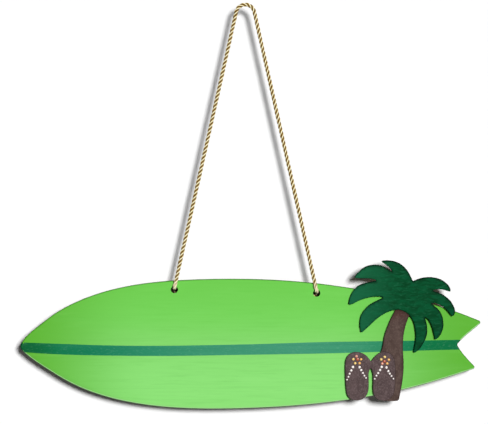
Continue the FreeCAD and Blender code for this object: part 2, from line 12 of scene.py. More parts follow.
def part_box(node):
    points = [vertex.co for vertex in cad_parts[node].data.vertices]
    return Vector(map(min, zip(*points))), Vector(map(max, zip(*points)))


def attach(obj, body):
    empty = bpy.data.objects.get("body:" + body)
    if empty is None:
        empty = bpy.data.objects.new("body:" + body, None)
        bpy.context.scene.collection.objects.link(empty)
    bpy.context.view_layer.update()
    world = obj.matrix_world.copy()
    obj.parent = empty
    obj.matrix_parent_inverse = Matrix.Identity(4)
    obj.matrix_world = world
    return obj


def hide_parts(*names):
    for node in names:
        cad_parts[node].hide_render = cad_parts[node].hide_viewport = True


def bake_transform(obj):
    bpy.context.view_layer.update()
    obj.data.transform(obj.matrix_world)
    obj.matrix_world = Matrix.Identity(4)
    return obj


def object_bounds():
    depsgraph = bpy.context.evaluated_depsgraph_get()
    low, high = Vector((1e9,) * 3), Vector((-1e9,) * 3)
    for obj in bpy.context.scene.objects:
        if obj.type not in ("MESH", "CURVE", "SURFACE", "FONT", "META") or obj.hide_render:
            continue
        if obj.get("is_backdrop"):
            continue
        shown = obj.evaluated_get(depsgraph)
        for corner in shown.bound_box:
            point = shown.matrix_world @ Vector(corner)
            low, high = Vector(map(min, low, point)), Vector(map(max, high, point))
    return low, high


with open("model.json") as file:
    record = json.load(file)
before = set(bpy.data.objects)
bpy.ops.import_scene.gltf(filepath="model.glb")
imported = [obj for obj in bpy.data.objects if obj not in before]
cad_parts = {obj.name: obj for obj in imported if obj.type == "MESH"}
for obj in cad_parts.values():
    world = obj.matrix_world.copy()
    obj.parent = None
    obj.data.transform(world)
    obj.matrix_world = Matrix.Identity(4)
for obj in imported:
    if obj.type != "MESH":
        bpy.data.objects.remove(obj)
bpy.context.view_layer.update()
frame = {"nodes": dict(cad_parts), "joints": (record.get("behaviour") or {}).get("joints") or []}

MM = 0.001
scene = bpy.context.scene
nodes = frame["nodes"]
joints = {j["name"]: j for j in frame["joints"]}


# ------------------------------------------------------------------ frame facts
def mm_box(name):
    lo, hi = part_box(name)
    return np.array(lo) * 1000.0, np.array(hi) * 1000.0


board_lo, board_hi = mm_box("board")
FACE_Y, BACK_Y = board_lo[1], board_hi[1]
NOSE_X, TAIL_X = board_lo[0], board_hi[0]
MID_X, MID_Z = (NOSE_X + TAIL_X) / 2, (board_lo[2] + board_hi[2]) / 2
HALF_X, HALF_Z = (TAIL_X - NOSE_X) / 2, (board_hi[2] - board_lo[2]) / 2
stripe_lo, stripe_hi = mm_box("stringer_stripe")
cord_lo, cord_hi = mm_box("cord_end_left")
CORD_R = (cord_hi[0] - cord_lo[0]) / 2
PIVOT = {}
for side in ("left", "right"):
    lo, hi = mm_box("cord_end_" + side)
    PIVOT[side] = ((lo[0] + hi[0]) / 2, (lo[2] + hi[2]) / 2)
FOLD_UP = joints["cord_fold_upper"]["pos_m"][2] * 1000.0
FOLD_LOW = joints["cord_fold_lower"]["pos_m"][2] * 1000.0
HOLE_Z = {side: PIVOT[side][1] - 1.7 for side in PIVOT}          # hole centre, below the cord
cutout_lo, cutout_hi = mm_box("palm_trunk")
CUT_Y = cutout_lo[1]                                             # painted face of the cut-outs


# ------------------------------------------------------------------ node helpers
def srgb(r, g, b):
    def one(c):
        c = c / 255.0
        return c / 12.92 if c <= 0.04045 else ((c + 0.055) / 1.055) ** 2.4
    return (one(r), one(g), one(b), 1.0)


class Graph:
    def __init__(self, name):
        self.material = bpy.data.materials.new(name)
        self.material.use_nodes = True
        self.tree = self.material.node_tree
        self.tree.nodes.clear()
        self.out = self.tree.nodes.new("ShaderNodeOutputMaterial")
        self.bsdf = self.tree.nodes.new("ShaderNodeBsdfPrincipled")
        self.tree.links.new(self.bsdf.outputs[0], self.out.inputs[0])
        self.coord = self.tree.nodes.new("ShaderNodeTexCoord")
        self.split = self.tree.nodes.new("ShaderNodeSeparateXYZ")
        self.link(self.coord.outputs["Object"], self.split.inputs[0])
        self.x, self.y, self.z = self.split.outputs[0], self.split.outputs[1], self.split.outputs[2]
        self._normal = None

    def link(self, a, b):
        self.tree.links.new(a, b)

    def put(self, socket, value):
        if hasattr(value, "is_linked") or isinstance(value, bpy.types.NodeSocket):
            self.link(value, socket)
        else:
            socket.default_value = value

    def math(self, op, a, b=0.0, c=None, clamp=False):
        n = self.tree.nodes.new("ShaderNodeMath")
        n.operation = op
        n.use_clamp = clamp
        self.put(n.inputs[0], a)
        self.put(n.inputs[1], b)
        if c is not None:
            self.put(n.inputs[2], c)
        return n.outputs[0]

    def ramp01(self, value, lo, hi):
        """0 at lo, 1 at hi, smooth between."""
        n = self.tree.nodes.new("ShaderNodeMapRange")
        n.interpolation_type = "SMOOTHSTEP"
        self.put(n.inputs[0], value)
        n.inputs[1].default_value, n.inputs[2].default_value = lo, hi
        n.inputs[3].default_value, n.inputs[4].default_value = 0.0, 1.0
        return n.outputs[0]

    def mix(self, factor, a, b, mode="MIX"):
        n = self.tree.nodes.new("ShaderNodeMix")
        n.data_type = "RGBA"
        n.blend_type = mode
        n.clamp_factor = True
        self.put(n.inputs[0], factor)
        self.put(n.inputs[6], a)
        self.put(n.inputs[7], b)
        return n.outputs[2]

    def scaled(self, sx, sy, sz, vector=None):
        n = self.tree.nodes.new("ShaderNodeMapping")
        n.inputs["Scale"].default_value = (sx, sy, sz)
        self.link(vector or self.coord.outputs["Object"], n.inputs[0])
        return n.outputs[0]

    def noise(self, vector, scale, detail=3.0, rough=0.55, distortion=0.0):
        n = self.tree.nodes.new("ShaderNodeTexNoise")
        self.link(vector, n.inputs["Vector"])
        n.inputs["Scale"].default_value = scale
        n.inputs["Detail"].default_value = detail
        n.inputs["Roughness"].default_value = rough
        n.inputs["Distortion"].default_value = distortion
        return n.outputs["Fac"] if "Fac" in n.outputs else n.outputs[0]

    def colours(self, value, stops):
        n = self.tree.nodes.new("ShaderNodeValToRGB")
        n.color_ramp.interpolation = "LINEAR"
        while len(n.color_ramp.elements) > 1:
            n.color_ramp.elements.remove(n.color_ramp.elements[-1])
        n.color_ramp.elements[0].position, n.color_ramp.elements[0].color = stops[0]
        for position, colour in stops[1:]:
            n.color_ramp.elements.new(position).color = colour
        self.put(n.inputs[0], value)
        return n.outputs[0]

    def normal(self):
        """The surface normal in the object's own frame, so that it turns with the piece."""
        if self._normal is None:
            g = self.tree.nodes.new("ShaderNodeNewGeometry")
            t = self.tree.nodes.new("ShaderNodeVectorTransform")
            t.vector_type, t.convert_from, t.convert_to = "NORMAL", "WORLD", "OBJECT"
            self.link(g.outputs["Normal"], t.inputs[0])
            s = self.tree.nodes.new("ShaderNodeSeparateXYZ")
            self.link(t.outputs[0], s.inputs[0])
            self._normal = (s.outputs[0], s.outputs[1], s.outputs[2])
        return self._normal

    def bump(self, height, strength, distance):
        n = self.tree.nodes.new("ShaderNodeBump")
        n.inputs["Strength"].default_value = strength
        n.inputs["Distance"].default_value = distance
        self.link(height, n.inputs["Height"])
        self.link(n.outputs[0], self.bsdf.inputs["Normal"])

    def set(self, **values):
        for key, value in values.items():
            self.put(self.bsdf.inputs[key.replace("_", " ")], value)


def brushed(g, along=7.0, across=420.0, vertical=False):
    """Two layers of brush marks that run along X (or Z), each 0..1."""
    a = g.scaled(across, 300.0, along) if vertical else g.scaled(along, 300.0, across)
    b = g.scaled(across * 0.28, 90.0, along * 0.5) if vertical else g.scaled(along * 0.5, 90.0, across * 0.28)
    fine = g.noise(a, 1.0, 4.0, 0.62, 0.3)
    broad = g.noise(b, 1.0, 3.0, 0.5, 0.6)
    return fine, broad


# ------------------------------------------------------------------ board paint
STRIPE_ENDS = (srgb(0, 100, 50), srgb(70, 152, 116))
# painted light: along its length the band is painted lightest through the middle and darker towards both ends, a
# painted highlight
STRIPE_SHEEN_STOPS = [(0.0, srgb(0, 90, 44)), (0.045, srgb(4, 102, 56)), (0.09, srgb(14, 119, 76)),
                (0.165, srgb(22, 124, 86)), (0.30, srgb(46, 139, 103)), (0.40, srgb(58, 145, 109)),
                (0.61, srgb(66, 149, 115)), (0.74, srgb(58, 147, 108)), (0.83, srgb(22, 130, 84)),
                (0.89, srgb(2, 114, 65)), (1.0, srgb(0, 106, 60))]


def stripe_colour(g):
    along = g.math("DIVIDE", g.math("SUBTRACT", g.x, NOSE_X * MM), (TAIL_X - NOSE_X) * MM)
    base = g.colours(along, STRIPE_SHEEN_STOPS)
    fine, broad = brushed(g, 9.0, 520.0)
    base = g.mix(g.math("MULTIPLY", g.ramp01(fine, 0.35, 0.75), 0.16), base, srgb(0, 84, 44))
    flecks = g.noise(g.scaled(260.0, 300.0, 900.0), 1.0, 3.0, 0.7)
    base = g.mix(g.math("MULTIPLY", g.ramp01(flecks, 0.52, 0.76), 0.27), base, srgb(118, 184, 150))
    return g.mix(g.math("MULTIPLY", g.ramp01(broad, 0.45, 0.8), 0.05), base, srgb(110, 184, 144)), fine, broad


def make_board_material():
    g = Graph("painted_board")
    # painted light: a broad pool of light is painted into the face, lightest low in the middle and darker towards both
    # ends and the top
    u = g.math("ABSOLUTE", g.math("DIVIDE", g.math("SUBTRACT", g.x, (MID_X - 4.0) * MM), HALF_X * MM))
    v = g.math("DIVIDE", g.math("SUBTRACT", g.z, MID_Z * MM), HALF_Z * MM)
    wobble = g.noise(g.scaled(5.0, 5.0, 12.0), 1.0, 2.0, 0.5)
    ends = g.math("SUBTRACT", 1.0, g.ramp01(g.math("ADD", u, g.math("MULTIPLY", wobble, 0.10)), 0.43, 1.04))
    low = g.math("SUBTRACT", 1.0, g.math("MULTIPLY", g.ramp01(v, -0.7, 1.2), 0.70))
    painted_sheen = g.math("MULTIPLY", ends, low)
    paint = g.mix(painted_sheen, srgb(92, 177, 48), srgb(138, 221, 116))
    fine, broad = brushed(g, 24.0, 360.0)
    paint = g.mix(g.math("MULTIPLY", g.ramp01(fine, 0.42, 0.78), 0.20), paint, srgb(92, 182, 66))
    paint = g.mix(g.math("MULTIPLY", g.ramp01(broad, 0.50, 0.85), 0.12), paint, srgb(160, 234, 138))
    grain = g.noise(g.scaled(3.0, 40.0, 900.0), 1.0, 2.0, 0.5, 1.2)
    paint = g.mix(g.math("MULTIPLY", g.ramp01(grain, 0.58, 0.72), 0.10), paint, srgb(84, 170, 60))
    # painted light: the upper middle of the face is lifted towards a brighter green, fading out towards the ends
    paint = g.mix(g.math("MULTIPLY", g.math("MULTIPLY", g.ramp01(v, -0.1, 0.5), ends), 0.30), paint, srgb(104, 218, 72))
    nx, ny, nz = g.normal()
    # painted shade: the paint is darkened where it rolls over the edge and faces away from the front
    painted_edge_shade = g.ramp01(g.math("MULTIPLY", ny, -1.0), 0.93, 0.45)
    paint = g.mix(g.math("MULTIPLY", painted_edge_shade, 0.75), paint, srgb(52, 104, 34))
    # painted highlight: a thin light line along the rounded edges that face down
    painted_edge_glint = g.math("MULTIPLY", g.math("MULTIPLY", g.ramp01(ny, -0.985, -0.90), g.ramp01(ny, -0.50, -0.72)),
                   g.ramp01(g.math("MULTIPLY", nz, -1.0), 0.1, 0.4))
    paint = g.mix(g.math("MULTIPLY", painted_edge_glint, 0.8), paint, srgb(186, 240, 168))
    # the band runs on over the rounded edge at both ends
    s_col, _, _ = stripe_colour(g)
    at_nose = g.math("LESS_THAN", g.x, (stripe_lo[0] + 0.6) * MM)
    nose_band = g.math("MULTIPLY", g.math("GREATER_THAN", g.z, (MID_Z_BAND["nose"][0]) * MM),
                       g.math("LESS_THAN", g.z, (MID_Z_BAND["nose"][1]) * MM))
    at_tail = g.math("GREATER_THAN", g.x, (stripe_hi[0] - 5.0) * MM)
    tail_band = g.math("MULTIPLY", g.math("GREATER_THAN", g.z, (MID_Z_BAND["tail"][0]) * MM),
                       g.math("LESS_THAN", g.z, (MID_Z_BAND["tail"][1]) * MM))
    band = g.math("MAXIMUM", g.math("MULTIPLY", at_nose, nose_band), g.math("MULTIPLY", at_tail, tail_band))
    band = g.math("MULTIPLY", band, g.math("LESS_THAN", ny, 0.2))
    # painted shade: the band darkens the same way where it rolls over the edge
    paint = g.mix(band, paint, g.mix(g.math("MULTIPLY", painted_edge_shade, 0.6), s_col, srgb(0, 52, 28)))
    # back: bare pale wood with a ragged margin of green where the brush came round
    rings = g.noise(g.scaled(2.2, 30.0, 95.0), 1.0, 4.0, 0.6, 1.6)
    pores = g.noise(g.scaled(24.0, 300.0, 1500.0), 1.0, 3.0, 0.6)
    wood = g.colours(rings, [(0.30, srgb(196, 160, 112)), (0.45, srgb(222, 190, 144)),
                             (0.58, srgb(205, 170, 122)), (0.75, srgb(230, 202, 160))])
    wood = g.mix(g.math("MULTIPLY", g.ramp01(pores, 0.55, 0.7), 0.45), wood, srgb(150, 112, 70))
    smear = g.noise(g.scaled(60.0, 60.0, 60.0), 1.0, 3.0, 0.6)
    behind = g.ramp01(ny, 0.25, 0.75)
    edge_green = g.math("MULTIPLY", g.math("SUBTRACT", 1.0, g.ramp01(ny, 0.9, 0.9995)),
                        g.ramp01(smear, 0.30, 0.55))
    back = g.mix(edge_green, wood, srgb(104, 178, 74))
    colour = g.mix(behind, paint, back)
    # painted shade: inside the cord holes the wall is painted near black, darker than the end grain itself, for the
    # shade deep in each hole
    hole = None
    for side in ("left", "right"):
        dx = g.math("SUBTRACT", g.x, PIVOT[side][0] * MM)
        dz = g.math("SUBTRACT", g.z, HOLE_Z[side] * MM)
        r2 = g.math("ADD", g.math("MULTIPLY", dx, dx), g.math("MULTIPLY", dz, dz))
        one = g.math("LESS_THAN", r2, (4.15 * MM) ** 2)
        hole = one if hole is None else g.math("MAXIMUM", hole, one)
    hole = g.math("MULTIPLY", hole, g.math("LESS_THAN", g.math("ABSOLUTE", ny), 0.5))
    colour = g.mix(hole, colour, srgb(4, 3, 2))
    rough = g.math("ADD", 0.40, g.math("MULTIPLY", fine, 0.16))
    rough = g.math("MAXIMUM", rough, g.math("MULTIPLY", behind, 0.78))
    # the sawn side walls are duller than the face
    rough = g.math("MAXIMUM", rough, g.math("MULTIPLY", g.ramp01(g.math("ABSOLUTE", ny), 0.45, 0.20), 0.92))
    g.set(Base_Color=colour, Roughness=rough, Specular_IOR_Level=0.06)
    height = g.math("ADD", g.math("MULTIPLY", fine, 0.6), g.math("ADD", g.math("MULTIPLY", broad, 0.5),
                                                                g.math("MULTIPLY", pores, 0.25)))
    g.bump(height, 0.35, 0.00018)
    return g.material


# height of the band where it leaves each end of its film
film = np.array([v.co for v in nodes["stringer_stripe"].data.vertices]) * 1000.0
nose_part = film[film[:, 0] < stripe_lo[0] + 3.2]
tail_part = film[film[:, 0] > stripe_hi[0] - 3.0]
MID_Z_BAND = {"nose": (nose_part[:, 2].min(), nose_part[:, 2].max()),
              "tail": (tail_part[:, 2].min(), tail_part[:, 2].max())}


def make_stripe_material():
    g = Graph("painted_band")
    colour, fine, broad = stripe_colour(g)
    v = g.math("ADD", g.math("MULTIPLY", fine, 0.5), g.math("MULTIPLY", broad, 0.5))
    g.set(Base_Color=colour, Roughness=g.math("ADD", 0.38, g.math("MULTIPLY", fine, 0.2)), Specular_IOR_Level=0.03)
    g.bump(v, 0.4, 0.00016)
    return g.material


def make_cutout_material(name, dark, mid, light, edge, along_z=False, speckle=0.0, left_light=None, top_shade=None,
                         marks=(190.0, 900.0), merge=None, outline=0.0):
    g = Graph(name)
    fine, broad = brushed(g, marks[0], marks[1], along_z)
    mottled = g.noise(g.scaled(70.0, 70.0, 70.0), 1.0, 3.0, 0.55)
    colour = g.mix(g.ramp01(broad, 0.32, 0.70), dark, mid)
    colour = g.mix(g.math("MULTIPLY", g.ramp01(fine, 0.52, 0.76), 0.4), colour, light)
    colour = g.mix(g.math("MULTIPLY", g.ramp01(mottled, 0.45, 0.75), 0.25), colour, mid)
    if left_light is not None:
        x0, x1, tone, amount = left_light
        colour = g.mix(g.math("MULTIPLY", g.ramp01(g.x, x1 * MM, x0 * MM), amount), colour, tone)
    if top_shade is not None:
        # painted shade: darker and redder towards the top of the piece
        z0, z1, tone, amount = top_shade
        colour = g.mix(g.math("MULTIPLY", g.ramp01(g.z, z0 * MM, z1 * MM), amount), colour, tone)
    if speckle:
        dots = g.noise(g.scaled(620.0, 620.0, 620.0), 1.0, 2.0, 0.7)
        colour = g.mix(g.math("MULTIPLY", g.ramp01(dots, 0.50, 0.66), speckle), colour, light)
        colour = g.mix(g.math("MULTIPLY", g.ramp01(dots, 0.48, 0.36), speckle), colour, dark)
    nx, ny, nz = g.normal()
    # painted shade: faces that turn away from the front take the dark edge colour, more on the edges that face up and
    # right
    side = g.ramp01(g.math("MULTIPLY", ny, -1.0), 0.96, 0.35)
    lean = g.ramp01(g.math("ADD", g.math("MULTIPLY", nx, 0.7), g.math("MULTIPLY", nz, 0.7)), -0.55, 0.35)
    edge_shade = g.math("MULTIPLY", side, g.math("ADD", 0.42, g.math("MULTIPLY", lean, 0.55)))
    if outline:
        # painted shade: a darker band is painted along the cut edge, most on the edges that face up and right
        edge_shade_node = g.tree.nodes.new("ShaderNodeAttribute")
        edge_shade_node.attribute_name = "edge_shade"
        edge_shade = g.math("MAXIMUM", edge_shade, g.math("MULTIPLY", edge_shade_node.outputs["Fac"], outline))
    if merge is not None:
        # two pieces that meet under one coat of paint: no dark line where they touch
        x0, x1, z1 = merge
        touching = g.math("MULTIPLY", g.math("MULTIPLY", g.ramp01(g.x, (x0 - 1.5) * MM, x0 * MM),
                                             g.ramp01(g.x, x1 * MM, (x1 - 1.0) * MM)),
                          g.ramp01(g.z, z1 * MM, (z1 - 1.5) * MM))
        edge_shade = g.math("MULTIPLY", edge_shade, g.math("SUBTRACT", 1.0, g.math("MULTIPLY", touching, 0.92)))
    colour = g.mix(edge_shade, colour, edge)
    # the cut side itself takes back most of the face's colour and keeps some of the painted edge shade
    wall = g.ramp01(g.math("MULTIPLY", ny, -1.0), 0.40, 0.08)
    colour = g.mix(g.math("MULTIPLY", wall, 0.65), colour, mid)
    behind = g.ramp01(ny, 0.6, 0.9)
    rings = g.noise(g.scaled(90.0, 30.0, 6.0), 1.0, 4.0, 0.6, 1.2)
    wood = g.colours(rings, [(0.30, srgb(198, 164, 118)), (0.55, srgb(224, 194, 150)), (0.75, srgb(208, 174, 128))])
    smear = g.noise(g.scaled(120.0, 120.0, 120.0), 1.0, 3.0, 0.6)
    wood = g.mix(g.math("MULTIPLY", g.ramp01(smear, 0.60, 0.70), 0.35), wood, mid)
    colour = g.mix(behind, colour, wood)
    g.set(Base_Color=colour, Roughness=g.math("ADD", 0.50, g.math("MULTIPLY", fine, 0.2)), Specular_IOR_Level=0.03)
    g.bump(g.math("ADD", g.math("MULTIPLY", fine, 0.7), g.math("MULTIPLY", mottled, 0.3)), 0.45, 0.0002)
    return g.material


def make_drop_material(name, colour, shade):
    g = Graph(name)
    cloud = g.noise(g.scaled(900.0, 900.0, 900.0), 1.0, 2.0, 0.5)
    tone = g.mix(g.math("MULTIPLY", g.ramp01(cloud, 0.35, 0.7), 0.45), colour, shade)
    g.set(Base_Color=tone, Roughness=g.math("ADD", 0.22, g.math("MULTIPLY", cloud, 0.12)), Specular_IOR_Level=0.5)
    g.bump(cloud, 0.15, 0.0001)
    return g.material


def make_glue_material():
    g = Graph("dried_glue")
    cloud = g.noise(g.scaled(300.0, 300.0, 300.0), 1.0, 3.0, 0.6)
    g.set(Base_Color=g.mix(cloud, srgb(206, 196, 160), srgb(240, 234, 212)), Roughness=0.35, Specular_IOR_Level=0.5)
    g.bump(cloud, 0.3, 0.0002)
    return g.material


def make_cord_material():
    g = Graph("twisted_straw_cord")
    outer = g.tree.nodes.new("ShaderNodeAttribute")
    outer.attribute_name = "crest_and_groove_light"
    uv = g.tree.nodes.new("ShaderNodeUVMap")
    uv.uv_map = "UVMap"
    fibre_vec = g.scaled(26.0, 150.0, 1.0, uv.outputs[0])
    fibre = g.noise(fibre_vec, 1.0, 3.0, 0.65, 0.4)
    patch = g.noise(g.scaled(2.0, 60.0, 1.0, uv.outputs[0]), 1.0, 2.0, 0.5)
    crest_and_groove_light = outer.outputs["Fac"]
    # painted light: the strands are painted dark in the grooves between them and nearly white on their tops, painted
    # shade and painted highlight
    base = g.colours(crest_and_groove_light, [(0.0, srgb(36, 20, 0)), (0.58, srgb(66, 40, 0)), (0.74, srgb(160, 112, 0)),
                             (0.86, srgb(246, 204, 84)), (0.97, srgb(255, 254, 222))])
    base = g.mix(g.math("MULTIPLY", g.ramp01(fibre, 0.45, 0.75), 0.55), base, srgb(252, 230, 164))
    base = g.mix(g.math("MULTIPLY", g.ramp01(fibre, 0.50, 0.28), 0.50), base, srgb(118, 82, 26))
    # random darker and paler patches of straw; the dark ones are kept off the strand tops and the pale ones on them,
    # adding to the painted shade and highlight
    base = g.mix(g.math("MULTIPLY", g.math("MULTIPLY", g.ramp01(patch, 0.46, 0.68), g.ramp01(crest_and_groove_light, 0.98, 0.80)), 0.6), base, srgb(124, 82, 0))
    base = g.mix(g.math("MULTIPLY", g.math("MULTIPLY", g.ramp01(patch, 0.46, 0.30), g.ramp01(crest_and_groove_light, 0.70, 0.90)), 0.6), base, srgb(255, 250, 206))
    # deep in the hole hardly any light reaches it
    for side in ("left", "right"):
        dx = g.math("SUBTRACT", g.x, PIVOT[side][0] * MM)
        dz = g.math("SUBTRACT", g.z, HOLE_Z[side] * MM)
        r2 = g.math("ADD", g.math("MULTIPLY", dx, dx), g.math("MULTIPLY", dz, dz))
        # the last centimetre above each hole is painted pale: partly a painted highlight on the shaded bend into the
        # hole, partly the paler colour of the cord's ends
        pale = g.math("MULTIPLY", g.math("LESS_THAN", g.math("ABSOLUTE", dx), 5.0 * MM),
                      g.math("MULTIPLY", g.ramp01(g.z, (PIVOT[side][1] + 12.0) * MM, (PIVOT[side][1] + 1.0) * MM),
                             g.ramp01(g.y, (FACE_Y + 2.4) * MM, (FACE_Y + 0.4) * MM)))
        base = g.mix(g.math("MULTIPLY", pale, 0.72), base, srgb(255, 244, 206))
        near = g.math("LESS_THAN", r2, (4.6 * MM) ** 2)
        depth = g.math("MULTIPLY", g.ramp01(g.y, (FACE_Y + 2.6) * MM, (FACE_Y + 5.2) * MM),
                       g.ramp01(g.y, (BACK_Y + 3.2) * MM, (BACK_Y + 1.6) * MM))
        base = g.mix(g.math("MULTIPLY", g.math("MULTIPLY", near, depth), 0.95), base, srgb(12, 9, 6))
    g.set(Base_Color=base, Roughness=0.62, Specular_IOR_Level=0.12, Sheen_Weight=0.04, Sheen_Roughness=0.5)
    g.bump(fibre, 0.6, 0.00022)
    return g.material


def paint_over(obj, material):
    obj.data.materials.clear()
    obj.data.materials.append(material)


board_material = make_board_material()
stripe_material = make_stripe_material()
# each cut-out paint: dark, mid and light tones, then the colour of the painted edge shade
crown_material = make_cutout_material(
    "painted_fronds", srgb(0, 62, 30), srgb(2, 82, 46), srgb(52, 126, 90), srgb(0, 32, 17),
    left_light=(mm_box("palm_crown")[0][0], mm_box("palm_crown")[0][0] + 62.0, srgb(26, 104, 68), 0.75), outline=1.0)
sandal_lo, sandal_hi = mm_box("flip_flop_pair")
toe_x = np.mean([c for side in ("right",) for c in (mm_box("flower_centre_" + side)[0][0],
                                                    mm_box("flower_centre_" + side)[1][0])])
trunk_material = make_cutout_material(
    "painted_trunk", srgb(76, 60, 55), srgb(92, 75, 69), srgb(114, 96, 88), srgb(46, 31, 27), along_z=True, speckle=0.3,
    outline=0.55,
    # painted shade: the top of the trunk darkens under the crown
    top_shade=(cutout_hi[2] - 16.0, cutout_hi[2] - 1.0, srgb(74, 42, 38), 0.8), marks=(200.0, 500.0),
    merge=(toe_x - 8.0, sandal_hi[0] + 1.0, sandal_hi[2] + 0.6))
sandal_material = make_cutout_material(
    "painted_sandals", srgb(78, 64, 64), srgb(96, 80, 80), srgb(124, 107, 107), srgb(46, 34, 36), along_z=True,
    speckle=0.45, marks=(200.0, 500.0), merge=(toe_x + 1.0, sandal_hi[0] + 2.0, sandal_hi[2] - 2.0))
glue_material = make_glue_material()
white_material = make_drop_material("white_drops", srgb(250, 244, 240), srgb(226, 208, 200))
yellow_material = make_drop_material("yellow_drops", srgb(252, 222, 132), srgb(232, 176, 72))
orange_material = make_drop_material("orange_drops", srgb(244, 190, 104), srgb(214, 140, 60))
pink_material = make_drop_material("pink_drops", srgb(236, 168, 140), srgb(206, 122, 104))
red_material = make_drop_material("red_drops", srgb(178, 82, 48), srgb(128, 44, 28))
cord_material = make_cord_material()


# ------------------------------------------------------------------ carried-over CAD nodes
paint_over(nodes["board"], board_material)
paint_over(nodes["stringer_stripe"], stripe_material)
paint_over(nodes["flip_flop_pair"], sandal_material)
for name in ("crown_glue", "trunk_glue", "flip_flop_glue"):
    paint_over(nodes[name], glue_material)


# ------------------------------------------------------------------ cut-outs with hand-sanded edges
def front_outline(name):
    """The front outline of a flat CAD cut-out, as one closed loop of (x, z) in mm."""
    bm = bmesh.new()
    bm.from_mesh(nodes[name].data)
    bmesh.ops.remove_doubles(bm, verts=bm.verts, dist=2e-6)
    bm.verts.ensure_lookup_table()
    bm.verts.index_update()
    bm.normal_update()
    front = min(v.co.y for v in bm.verts)
    edges = {}
    for e in bm.edges:
        a, b = e.verts
        if abs(a.co.y - front) > 1e-6 or abs(b.co.y - front) > 1e-6:
            continue
        if len([f for f in e.link_faces if abs(f.normal.y) > 0.99]) == 1:
            edges.setdefault(a.index, []).append(b.index)
            edges.setdefault(b.index, []).append(a.index)
    loops, left = [], set(edges)
    while left:
        start = min(left)
        loop, here, before = [start], start, None
        left.discard(start)
        while True:
            step = [n for n in edges[here] if n != before][0]
            if step == start:
                break
            loop.append(step)
            left.discard(step)
            before, here = here, step
        loops.append([(bm.verts[i].co.x * 1000, bm.verts[i].co.z * 1000) for i in loop])
    bm.free()
    return max(loops, key=len)


def refined(points, longest):
    """The same closed loop with its long edges split, corners kept."""
    out = []
    for (ax, az), (bx, bz) in zip(points, points[1:] + points[:1]):
        d = math.hypot(bx - ax, bz - az)
        if d < 1e-4:
            continue
        n = max(1, int(math.ceil(d / longest)))
        out.extend((ax + (bx - ax) * k / n, az + (bz - az) * k / n) for k in range(n))
    return np.array(out)


def distance_to_loop(q, loop, keep=None):
    """Shortest distance of each point of q to the closed loop, or to the kept stretches of it."""
    a, b = loop, np.roll(loop, -1, axis=0)
    if keep is not None:
        a, b = a[keep], b[keep]
    ab = b - a
    length2 = np.maximum(1e-12, (ab ** 2).sum(1))
    best = np.full(len(q), 1e9)
    for k in range(0, len(q), 400):
        part = q[k:k + 400]
        rel = part[:, None, :] - a[None]
        t = np.clip((rel * ab[None]).sum(2) / length2[None], 0, 1)
        gap = rel - ab[None] * t[..., None]
        best[k:k + 400] = np.sqrt((gap ** 2).sum(2)).min(1)
    return best


def inside_loop(q, loop):
    x, z = q[:, 0][:, None], q[:, 1][:, None]
    ax, az = loop[:, 0][None], loop[:, 1][None]
    nxt = np.roll(loop, -1, axis=0)
    bx, bz = nxt[:, 0][None], nxt[:, 1][None]
    crosses = ((az > z) != (bz > z)) & (x < (bx - ax) * (z - az) / np.where(bz == az, 1e-12, bz - az) + ax)
    return crosses.sum(1) % 2 == 1


def filled(loop, extra):
    """Triangles over the area inside the loop, through the extra points."""
    n = len(loop)
    coords = [Vector((float(p[0]), float(p[1]))) for p in loop] + [Vector((float(p[0]), float(p[1]))) for p in extra]
    edges = [(i, (i + 1) % n) for i in range(n)]
    verts, _, faces, origin, _, _ = delaunay_2d_cdt(coords, edges, [list(range(n))], 1, 1e-5)
    return np.array([(v.x, v.y) for v in verts]), faces, origin


